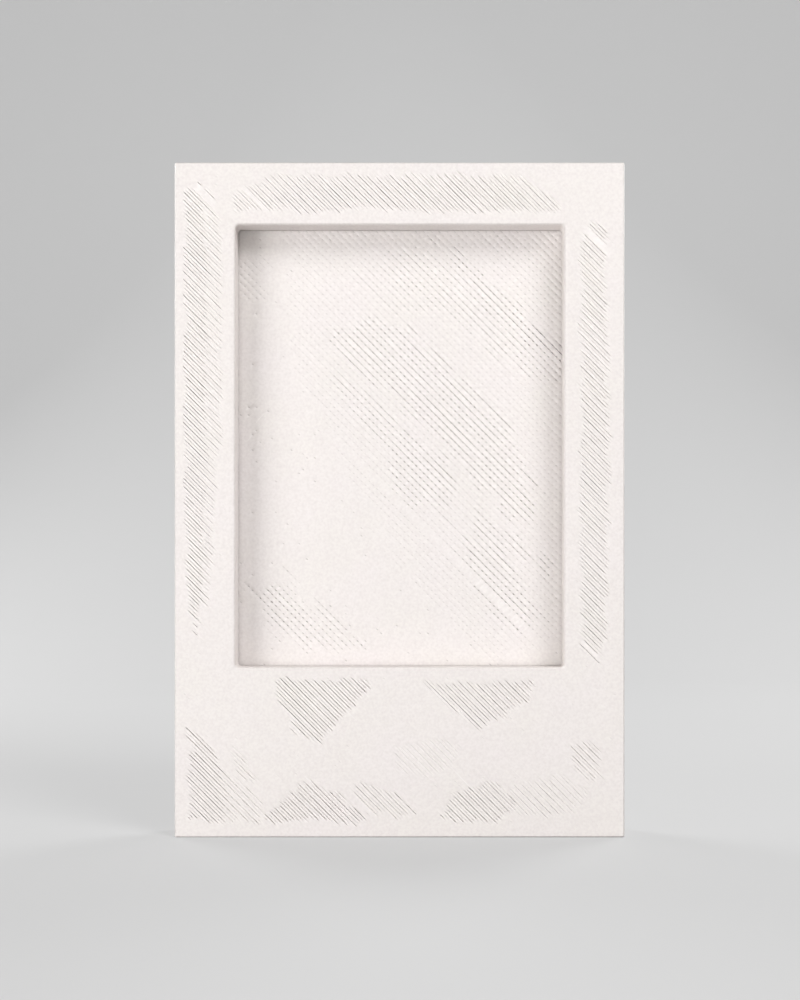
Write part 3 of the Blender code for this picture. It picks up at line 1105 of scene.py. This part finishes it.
@dataclass
class FrontFrame(PrintedPiece):
    """The printed front: its face with the window, its walls, and the rim round the back panel.

    Attributes:
        window: The window.
        face_gaps: The gaps on the face.
    """

    node: str = "front_frame"
    slot: str = "printed_front"
    window: Rectangle = WINDOW
    face_gaps: Gaps = Gaps(
        lay=Lay.FALLING,
        clears_odd_edges=True,
        speckle=0.015,
        patches=(
            Patch(((-23.2, 89.0), (-23.2, 91.6), (-17.0, 94.2), (17.5, 94.2), (23.2, 89.0)), 0.75),
            Patch(((-21.5, 89.4), (-19.5, 91.4), (-15.0, 93.2), (16.0, 93.2), (21.5, 89.4))),
            Patch(((-30.6, 91.7), (-28.6, 92.6), (-27.4, 88.0), (-27.4, 54.2), (-30.6, 53.9))),
            Patch(((-27.8, 90.5), (-27.2, 92.2), (-25.3, 87.5), (-25.3, 54.2), (-27.8, 54.2)), 0.6),
            Patch(((-30.4, 54.2), (-27.6, 54.2), (-27.8, 34.0), (-28.9, 28.9), (-30.2, 32.1))),
            Patch(((-28.0, 54.2), (-26.2, 54.2), (-26.6, 36.0), (-28.0, 30.0)), 0.6),
            Patch(((25.6, 84.1), (27.3, 87.2), (29.2, 86.1), (29.8, 56.5), (29.2, 27.8), (28.1, 25.2),
                   (25.9, 26.7)), 0.82),
            Patch(((-17.7, 22.3), (-3.8, 22.3), (-5.5, 19.3), (-9.3, 15.6), (-11.4, 13.2), (-14.4, 14.8),
                   (-17.0, 18.7))),
            Patch(((3.6, 21.8), (18.6, 22.0), (18.2, 19.6), (15.0, 17.3), (11.4, 15.6),
                   (8.3, 17.6)), 0.85),
            Patch(((-29.8, 15.3), (-27.2, 13.4), (-25.0, 9.5), (-24.4, 5.3), (-25.6, 2.4), (-29.8, 2.6))),
            Patch(((-25.6, 9.5), (-23.4, 8.6), (-19.6, 5.0), (-19.8, 2.4), (-25.6, 2.4)), 0.55),
            Patch(((-20.0, 2.3), (-16.6, 5.2), (-12.9, 8.0), (-9.0, 6.2), (-5.2, 2.9), (-6.4, 2.2))),
            Patch(((-7.0, 8.2), (-4.4, 7.9), (0.0, 6.0), (2.4, 3.6), (0.8, 2.6), (-4.4, 3.4)), 0.62),
            Patch(((5.7, 2.8), (7.9, 6.1), (12.8, 8.1), (17.1, 4.8), (13.6, 2.3), (8.4, 2.2)), 0.9),
            Patch(((15.0, 6.8), (22.8, 8.9), (26.8, 6.8), (24.9, 3.2), (17.1, 3.2)), 0.45),
            Patch(((24.8, 12.7), (27.1, 13.9), (28.3, 12.2), (28.2, 8.8), (26.8, 8.0), (25.1, 9.9)), 0.66),
            Patch(((-24.1, 10.4), (-23.9, 13.2), (-22.4, 12.9), (-21.0, 9.4), (-20.4, 7.6),
                   (-22.2, 7.9)), 0.6),
            Patch(((-0.7, 12.7), (4.3, 14.0), (8.6, 13.0), (6.9, 10.0), (3.6, 8.5), (-0.2, 9.6)), 0.32),
        ),
    )

    def build(self, material: bpy.types.Material) -> None:
        """Build the piece.

        Args:
            material: Its material.
        """
        self.copy_solid()
        self.mark_layers()
        face = Flat(self.low.y, -1)
        lined = self.outline.grown(-self.band)
        self.open_gaps(face, lined, self.face_gaps, self.window.grown(self.band))
        self.open_gaps(Flat(self.high.y, 1), self.outline, Rings(self.outline))
        self.dress(material)


@dataclass
class BackPanel(PrintedPiece):
    """The panel behind the card, with the ears of the leg's hinge.

    Attributes:
        window: The window that shows its front.
        shown_margin: How far past the window its front is lined.
        thickness: Of the plate.
        front_gaps: The gaps on its front.
        back_gaps: The gaps on its back.
    """

    node: str = "back_panel"
    slot: str = "printed_panel"
    window: Rectangle = WINDOW
    shown_margin: float = 2.0 * MM
    thickness: float = 3.0 * MM
    front_gaps: Gaps = Gaps(
        lay=Lay.FALLING,
        pitch=0.8 * MM,
        width=0.27 * MM,
        depth=0.32 * MM,
        cross_steps=(-0.2 * MM, -0.07 * MM, 0.07 * MM, 0.2 * MM),
        dash=0.22,
        weak_line=1.0,
        unevenness=0.2,
        blots=0.3,
        streaks=0.04,
        streak_depth=0.7,
        fading=1.0,
        ridge=0.55,
        darkness=1.3,
        speckle=0.04,
        wander=2.0,
        softness=1.6,
        seed=2,
        patches=(
            Patch(((-2.1, 84.2), (7.9, 84.2), (14.2, 78.5), (12.0, 72.0), (-0.7, 78.5)), 0.6),
            Patch(((8.0, 80.5), (14.0, 78.5), (23.1, 70.0), (23.1, 65.0), (17.8, 66.4),
                   (9.0, 73.4)), 0.6),
            Patch(((5.2, 85.6), (7.2, 84.9), (24.4, 69.4), (23.6, 67.0), (13.2, 75.4)), 0.88),
            Patch(((-10.6, 72.8), (-4.9, 75.0), (1.5, 72.8), (7.9, 66.4), (10.0, 60.0), (5.0, 57.9),
                   (-2.1, 63.5), (-9.5, 69.4)), 0.72),
            Patch(((5.0, 68.6), (7.9, 66.4), (15.0, 59.3), (19.2, 50.8), (20.0, 45.1), (15.0, 45.1),
                   (10.7, 50.7), (3.5, 60.3)), 0.75),
            Patch(((-10.6, 67.9), (-6.3, 65.4), (0.5, 59.6), (1.5, 54.0), (-1.4, 54.4), (-5.2, 59.3),
                   (-9.3, 64.7)), 0.65),
            Patch(((-1.4, 58.5), (0.5, 59.2), (5.0, 55.8), (8.6, 50.8), (6.5, 48.0), (2.2, 46.6),
                   (-1.4, 49.4)), 0.72),
            Patch(((0.8, 56.5), (6.5, 54.4), (7.9, 50.1), (3.6, 48.7), (0.1, 52.2)), 0.8),
            Patch(((7.9, 43.7), (13.6, 40.9), (20.7, 30.9), (19.2, 28.8), (16.4, 28.1), (11.4, 33.8),
                   (8.6, 39.5)), 0.76),
            Patch(((10.0, 48.0), (14.3, 45.1), (22.1, 39.5), (21.4, 37.3), (17.1, 39.5),
                   (12.1, 43.0)), 0.72),
            Patch(((-22.0, 35.2), (-16.3, 37.3), (-10.6, 32.3), (-3.5, 26.7), (-10.6, 26.0),
                   (-17.7, 28.1)), 0.55),
            Patch(((-20.4, 36.2), (-16.3, 35.8), (-11.6, 30.6), (-14.1, 28.6), (-18.8, 31.6)), 0.75),
            Patch(((-25.3, 84.5), (-20.1, 82.7), (-18.2, 76.5), (-21.9, 77.2), (-25.3, 79.4)), 0.35),
            Patch(((-6.9, 80.4), (-1.4, 84.8), (3.0, 81.2), (-0.6, 75.2)), 0.5),
            Patch(((10.1, 86.7), (25.1, 86.7), (25.4, 72.9), (17.3, 75.8)), 0.4),
            Patch(((-17.0, 88.0), (25.0, 88.0), (25.0, 28.0), (12.0, 25.0), (-3.0, 44.0),
                   (-15.0, 66.0)), 0.26),
        ),
    )
    back_gaps: Gaps = replace(BACK_GAPS, clears_odd_edges=True, seed=3)

    def build(self, material: bpy.types.Material) -> None:
        """Build the piece.

        Args:
            material: Its material.
        """
        self.copy_solid()
        self.mark_layers()
        front = Flat(self.low.y, -1)
        self.open_gaps(front, self.window.grown(self.shown_margin), self.front_gaps)
        back = Flat(self.low.y + self.thickness, 1)
        self.open_gaps(back, self.outline.grown(-self.band), self.back_gaps)
        self.dress(material)


@dataclass
class EaselLeg(PrintedPiece):
    """The folding leg, with the layers of its print and the lines on its back.

    Attributes:
        thickness: Of the leg below its barrel.
        gaps: The gaps on its back.
    """

    node: str = "easel_leg"
    body: str = "leg"
    thickness: float = 2.4 * MM
    gaps: Gaps = replace(BACK_GAPS, seed=4)

    def build(self, material: bpy.types.Material) -> None:
        """Build the piece.

        Args:
            material: Its material.
        """
        self.copy_solid()
        self.mark_layers()
        back = Flat(self.low.y + self.thickness, 1)
        self.open_gaps(back, self.outline.grown(MM), self.gaps)
        self.dress(material)


@dataclass
class TurnButtons(PrintedPiece):
    """The four buttons that turn over the panel's edge, dressed once and copied.

    Attributes:
        thickness: Of a button's plate.
        low_pivot: The height of the lower buttons' screws.
        high_pivot: The height of the upper buttons' screws.
        gaps: The gaps on its back.
    """

    node: str = "turn_button_left_lower"
    thickness: float = 1.6 * MM
    low_pivot: float = 20.0 * MM
    high_pivot: float = 76.0 * MM
    gaps: Gaps = replace(BACK_GAPS, lay=Lay.FALLING, seed=5)

    def build(self, material: bpy.types.Material) -> None:
        """Build the four buttons.

        Args:
            material: Their material.
        """
        self.copy_solid()
        self.mark_layers()
        back = Flat(self.low.y + self.thickness, 1)
        self.open_gaps(back, self.outline.grown(MM), self.gaps)
        first = self.piece
        for side in ("left", "right"):
            for level, rise in (("lower", 0.0), ("upper", self.high_pivot - self.low_pivot)):
                corner = f"{side}_{level}"
                self.node, self.body = f"turn_button_{corner}", f"button_{corner}"
                if corner != "left_lower":
                    self.piece = copy_piece(first, f"{self.node}_print")
                half_turn = math.pi if side == "right" else 0.0
                lift = 2.0 * self.low_pivot if side == "right" else 0.0
                settle(self.piece, Vector((0.0, 0.0, lift + rise)), (0.0, half_turn, 0.0))
                self.dress(material)


@dataclass
class PanScrews:
    """The small pan head screws through the buttons, modelled once and copied.

    Attributes:
        head_radius: Of the head.
        head_height: Of the head.
        rim: The height of the head's straight rim.
        shank_radius: Of the shank.
        length: Under the head.
        tip: The length of the pointed tip.
        slot_length: Of the cross recess, from end to end.
        slot_width: Of one of its slots.
        slot_depth: Of the recess.
        slot_taper: How much narrower the recess is at its bottom.
        crown_step: From one ring of the crown to the next, in degrees.
        crown_rings: How many rings the crown has.
        point: The share of the shank's radius that the tip ends with.
        edge: How far the head's edges are rounded.
        edge_angle: How sharp an edge has to be for that, in degrees.
        sides: How many sides the round forms have.
    """

    head_radius: float = 1.65 * MM
    head_height: float = 1.2 * MM
    rim: float = 0.45 * MM
    shank_radius: float = 0.85 * MM
    length: float = 5.0 * MM
    tip: float = 0.6 * MM
    slot_length: float = 2.0 * MM
    slot_width: float = 0.45 * MM
    slot_depth: float = 0.6 * MM
    slot_taper: float = 0.6
    crown_step: float = 12.0
    crown_rings: int = 7
    point: float = 0.1
    edge: float = 0.04 * MM
    edge_angle: float = 35.0
    sides: int = 64

    def build(self, material: bpy.types.Material) -> None:
        """Build the four screws.

        Args:
            material: Their material.
        """
        master = self.model()
        for corner in ("left_lower", "left_upper", "right_lower", "right_upper"):
            node = f"turn_button_screw_{corner}"
            low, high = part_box(node)
            middle = (low + high) / 2.0
            piece = copy_piece(master, f"{node}_steel")
            place = Vector((middle.x, high.y - self.head_height, middle.z))
            settle(piece, place, (math.radians(-90.0), 0.0, 0.0))
            piece.data.materials.append(material)
            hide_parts(node)
            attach(piece, "frame")
            LOG.info("%s: %d faces", piece.name, len(piece.data.polygons))
        bpy.data.objects.remove(master)

    def model(self) -> bpy.types.Object:
        """Model one screw, with its head up and the underside of the head at Z = 0.

        Returns:
            The screw.
        """
        bpy.ops.object.select_all(action="DESELECT")
        bpy.ops.mesh.primitive_cylinder_add(
            vertices=self.sides,
            radius=self.head_radius,
            depth=self.rim,
            location=(0.0, 0.0, self.rim / 2.0),
        )
        screw = bpy.context.object
        settle(screw, screw.location, (0.0, 0.0, 0.0))
        start_editing(screw)
        select_where(screw, Kind.FACE, lambda face: face.normal.z > SQUARE_ON)
        crown = self.head_height - self.rim
        steps = [math.radians(self.crown_step * (ring + 1)) for ring in range(self.crown_rings)]
        last = math.sin(steps[-1])
        dome = [(crown * math.sin(turn) / last, self.head_radius * math.cos(turn)) for turn in steps]
        grow(screw, dome, self.head_radius)
        select_where(screw, Kind.FACE, lambda face: face.normal.z < -SQUARE_ON)
        bpy.ops.mesh.inset(thickness=self.head_radius - self.shank_radius)
        shank = self.tip - self.length
        tip = (-self.length, self.point * self.shank_radius)
        grow(screw, [(shank, self.shank_radius), tip], self.shank_radius)
        stop_editing()
        self.recess(screw)
        shade(screw)
        return screw

    def recess(self, screw: bpy.types.Object) -> None:
        """Sink the cross recess into the head.

        Args:
            screw: The screw.
        """
        bpy.ops.object.select_all(action="DESELECT")
        bpy.ops.mesh.primitive_cube_add(size=self.slot_width, location=(0.0, 0.0, self.head_height))
        cross = bpy.context.object
        settle(cross, cross.location, (0.0, 0.0, 0.0))
        start_editing(cross)
        bpy.ops.mesh.select_all(action="SELECT")
        bpy.ops.transform.resize(
            value=(1.0, 1.0, 2.0 * self.slot_depth / self.slot_width),
            center_override=(0.0, 0.0, self.head_height),
        )
        select_where(cross, Kind.FACE, lambda face: abs(face.normal.z) < UPRIGHT)
        arm = (self.slot_length - self.slot_width) / 2.0
        bpy.ops.mesh.extrude_faces_move(TRANSFORM_OT_shrink_fatten={"value": arm})
        select_where(cross, Kind.VERTEX, lambda vertex: vertex.co.z < self.head_height)
        bpy.ops.transform.resize(value=(self.slot_taper, self.slot_taper, 1.0))
        stop_editing()
        sink = screw.modifiers.new("recess", "BOOLEAN")
        sink.operation = "DIFFERENCE"
        sink.solver = "EXACT"
        sink.object = cross
        rounding = screw.modifiers.new("edges", "BEVEL")
        rounding.width = self.edge
        rounding.segments = 2
        rounding.limit_method = "ANGLE"
        rounding.angle_limit = math.radians(self.edge_angle)
        for modifier in (sink.name, rounding.name):
            pick(screw)
            bpy.ops.object.modifier_apply(modifier=modifier)
        bpy.data.objects.remove(cross)


@dataclass
class HingePin:
    """The hinge pin, a length of filament with its ends melted to low, uneven heads.

    Attributes:
        node: The solid's node.
        radius: Of the filament.
        half_length: From its middle to the underside of a head.
        head: The height and the radius of each ring of a head.
        unevenness: How far the melted heads are off round.
        smoothing: How far each round of smoothing moves a head's corners, from 0 to 1.
        rounds: How many such rounds there are.
        sides: How many sides the round forms have.
        seed: Sets the unevenness.
    """

    node: str = "hinge_pin"
    radius: float = 0.875 * MM
    half_length: float = 10.6 * MM
    head: tuple[tuple[float, float], ...] = (
        (0.0, 1.22 * MM),
        (0.05 * MM, 1.31 * MM),
        (0.18 * MM, 1.32 * MM),
        (0.30 * MM, 1.24 * MM),
        (0.40 * MM, 1.06 * MM),
        (0.47 * MM, 0.78 * MM),
        (0.50 * MM, 0.40 * MM),
    )
    unevenness: float = 0.05 * MM
    smoothing: float = 0.5
    rounds: int = 3
    sides: int = 48
    seed: int = 3

    def build(self, material: bpy.types.Material) -> None:
        """Build the pin.

        Args:
            material: Its material.
        """
        bpy.ops.object.select_all(action="DESELECT")
        bpy.ops.mesh.primitive_cylinder_add(
            vertices=self.sides, radius=self.radius, depth=2.0 * self.half_length
        )
        pin = bpy.context.object
        pin.name = "hinge_pin_filament"
        start_editing(pin)
        for side in (1.0, -1.0):
            select_where(pin, Kind.FACE, lambda face: face.normal.z * side > SQUARE_ON)
            grow(pin, [(side * height, radius) for height, radius in self.head], self.radius)
        select_where(pin, Kind.VERTEX, lambda vertex: abs(vertex.co.z) > self.half_length)
        bpy.ops.transform.vertex_random(
            offset=self.unevenness, uniform=1.0, normal=0.0, seed=self.seed
        )
        bpy.ops.mesh.vertices_smooth(factor=self.smoothing, repeat=self.rounds)
        bpy.ops.mesh.select_all(action="SELECT")
        bpy.ops.mesh.normals_make_consistent(inside=False)
        stop_editing()
        low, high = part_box(self.node)
        settle(pin, (low + high) / 2.0, (0.0, math.radians(90.0), 0.0))
        shade(pin)
        pin.data.materials.append(material)
        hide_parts(self.node)
        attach(pin, "frame")
        LOG.info("%s: %d faces", pin.name, len(pin.data.polygons))


@dataclass(frozen=True)
class Lamp:
    """A softbox that looks at the frame.

    Attributes:
        name: Its name.
        tilt: How far it stands off the line of sight, in degrees.
        turn: Where it stands round that line, in degrees clockwise from straight up.
        power: Its power in watts.
        size: Its width, and its height where that isn't given.
        height: Its height, or nothing where it is round.
        distance: How far it is from the frame.
    """

    name: str
    tilt: float
    turn: float
    power: float
    size: float = 0.2
    height: float | None = None
    distance: float = 0.45

    def place(self, target: Vector) -> None:
        """Place the lamp so that it looks at a point.

        Args:
            target: The point.
        """
        tilt, turn = math.radians(self.tilt), math.radians(self.turn)
        toward = Vector(
            (
                math.sin(tilt) * math.sin(turn),
                -math.cos(tilt),
                math.sin(tilt) * math.cos(turn),
            )
        )
        data = bpy.data.lights.new(self.name, "AREA")
        data.shape = "ELLIPSE"
        data.size = self.size
        data.size_y = self.height or self.size
        data.energy = self.power
        lamp = bpy.data.objects.new(self.name, data)
        lamp.location = target + toward * self.distance
        lamp.rotation_euler = (-toward).to_track_quat("-Z", "Y").to_euler()
        lamp.visible_camera = False
        bpy.context.scene.collection.objects.link(lamp)


@dataclass
class Studio:
    """The floor and backdrop, the lamps, and the camera straight in front.

    Attributes:
        camera_distance: From the camera to the frame's face.
        camera_offset: Where the camera stands, in X and Z.
        picture_height: What the picture's long side covers at the face.
        middle: What lies in the middle of the picture, in X and Z.
        sweep_width: The width of the floor and the backdrop.
        floor_front: How far the floor runs to the front.
        floor_back: How far it runs to the back.
        backdrop_height: The height of the backdrop.
        bend_radius: The radius of the bend between them.
        bend_steps: How many steps the bend has.
        aim_height: The height of the point that the lamps look at.
        lamps: The lamps.
        sky: The colour that the camera sees past the paper's edges.
    """

    camera_distance: float = 0.185
    camera_offset: tuple[float, float] = (6.3 * MM, 37.3 * MM)
    picture_height: float = 142.1 * MM
    middle: tuple[float, float] = (0.06 * MM, 47.97 * MM)
    sweep_width: float = 3.0
    floor_front: float = 1.2
    floor_back: float = 0.5
    backdrop_height: float = 1.2
    bend_radius: float = 0.25
    bend_steps: int = 24
    aim_height: float = 56.0 * MM
    lamps: tuple[Lamp, ...] = (
        Lamp("upper_right_softbox", 55.0, 41.0, 1.33, size=0.24),
        Lamp("top_softbox", 30.0, 20.0, 0.07),
        Lamp("left_softbox", 50.0, 267.0, 1.24, size=0.32, height=0.07),
        Lamp("front_fill", 5.0, 180.0, 0.35, height=0.03),
        Lamp("back_left_softbox", 125.0, 300.0, 1.15, size=0.24),
        Lamp("back_right_softbox", 125.0, 50.0, 1.15, size=0.24),
    )
    sky: Colour = (0.44, 0.44, 0.44)

    def build(self, paper: bpy.types.Material) -> None:
        """Build the studio.

        Args:
            paper: The material of the floor and the backdrop.
        """
        self.lay_sweep(paper)
        target = Vector((0.0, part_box("front_frame")[0].y, self.aim_height))
        for lamp in self.lamps:
            lamp.place(target)
        self.set_world()
        self.place_camera()

    def lay_sweep(self, paper: bpy.types.Material) -> None:
        """Lay the floor and bend it up into the backdrop.

        Args:
            paper: The material of both.
        """
        bpy.ops.object.select_all(action="DESELECT")
        bpy.ops.mesh.primitive_plane_add(size=1.0)
        sweep = bpy.context.object
        sweep.name = "studio_sweep"
        depth = self.floor_front + self.floor_back
        bpy.ops.object.mode_set(mode="EDIT")
        bpy.ops.mesh.select_all(action="SELECT")
        bpy.ops.transform.resize(value=(self.sweep_width, depth, 1.0))
        bpy.ops.transform.translate(value=(0.0, (self.floor_back - self.floor_front) / 2.0, 0.0))

        def at_back(edge: bmesh.types.BMEdge) -> bool:
            """Say whether an edge lies along the back of the floor."""
            return all(
                abs(vertex.co.y - self.floor_back) < MM and vertex.co.z < MM for vertex in edge.verts
            )

        select_where(sweep, Kind.EDGE, at_back)
        bpy.ops.mesh.extrude_region_move(
            TRANSFORM_OT_translate={"value": (0.0, 0.0, self.backdrop_height)}
        )
        select_where(sweep, Kind.EDGE, at_back)
        bpy.ops.mesh.bevel(offset=self.bend_radius, segments=self.bend_steps, affect="EDGES")
        bpy.ops.mesh.select_all(action="SELECT")
        bpy.ops.mesh.normals_make_consistent(inside=False)
        stop_editing()
        shade(sweep)
        sweep.data.materials.append(paper)

    def set_world(self) -> None:
        """Give the camera a pale sky past the paper, which lights nothing."""
        world = bpy.data.worlds.new("studio_world")
        world.use_nodes = True
        nodes = world.node_tree.nodes
        sky = nodes["Background"]
        sky.inputs["Color"].default_value = (*self.sky, 1.0)
        rays = nodes.new("ShaderNodeLightPath")
        world.node_tree.links.new(rays.outputs["Is Camera Ray"], sky.inputs["Strength"])
        bpy.context.scene.world = world
        bpy.context.scene.view_settings.view_transform = "Standard"

    def place_camera(self) -> None:
        """Stand the camera in front of the face and shift its view to the frame."""
        data = bpy.data.cameras.new("camera")
        data.lens = data.sensor_width * self.camera_distance / self.picture_height
        x, z = self.camera_offset
        data.shift_x = (self.middle[0] - x) / self.picture_height
        data.shift_y = (self.middle[1] - z) / self.picture_height
        data.clip_start = MM
        camera = bpy.data.objects.new("camera", data)
        camera.location = (x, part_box("front_frame")[0].y - self.camera_distance, z)
        camera.rotation_euler = (math.radians(90.0), 0.0, 0.0)
        bpy.context.scene.collection.objects.link(camera)
        bpy.context.scene.camera = camera


def main() -> None:
    """Build the studio and dress every piece of the frame."""
    logging.basicConfig(level=logging.INFO, format="%(message)s")
    Studio().build(StudioPaper().make())
    front_plastic = PrintedPlastic("printed_front").make()
    panel_plastic = PrintedPlastic("printed_panel").make()
    fittings_plastic = PrintedPlastic("printed_fittings").make()
    FrontFrame().build(front_plastic)
    BackPanel().build(panel_plastic)
    EaselLeg().build(fittings_plastic)
    TurnButtons().build(fittings_plastic)
    PanScrews().build(ZINC_PLATE.make())
    HingePin().build(FILAMENT.make())


if __name__ == "__main__":
    main()
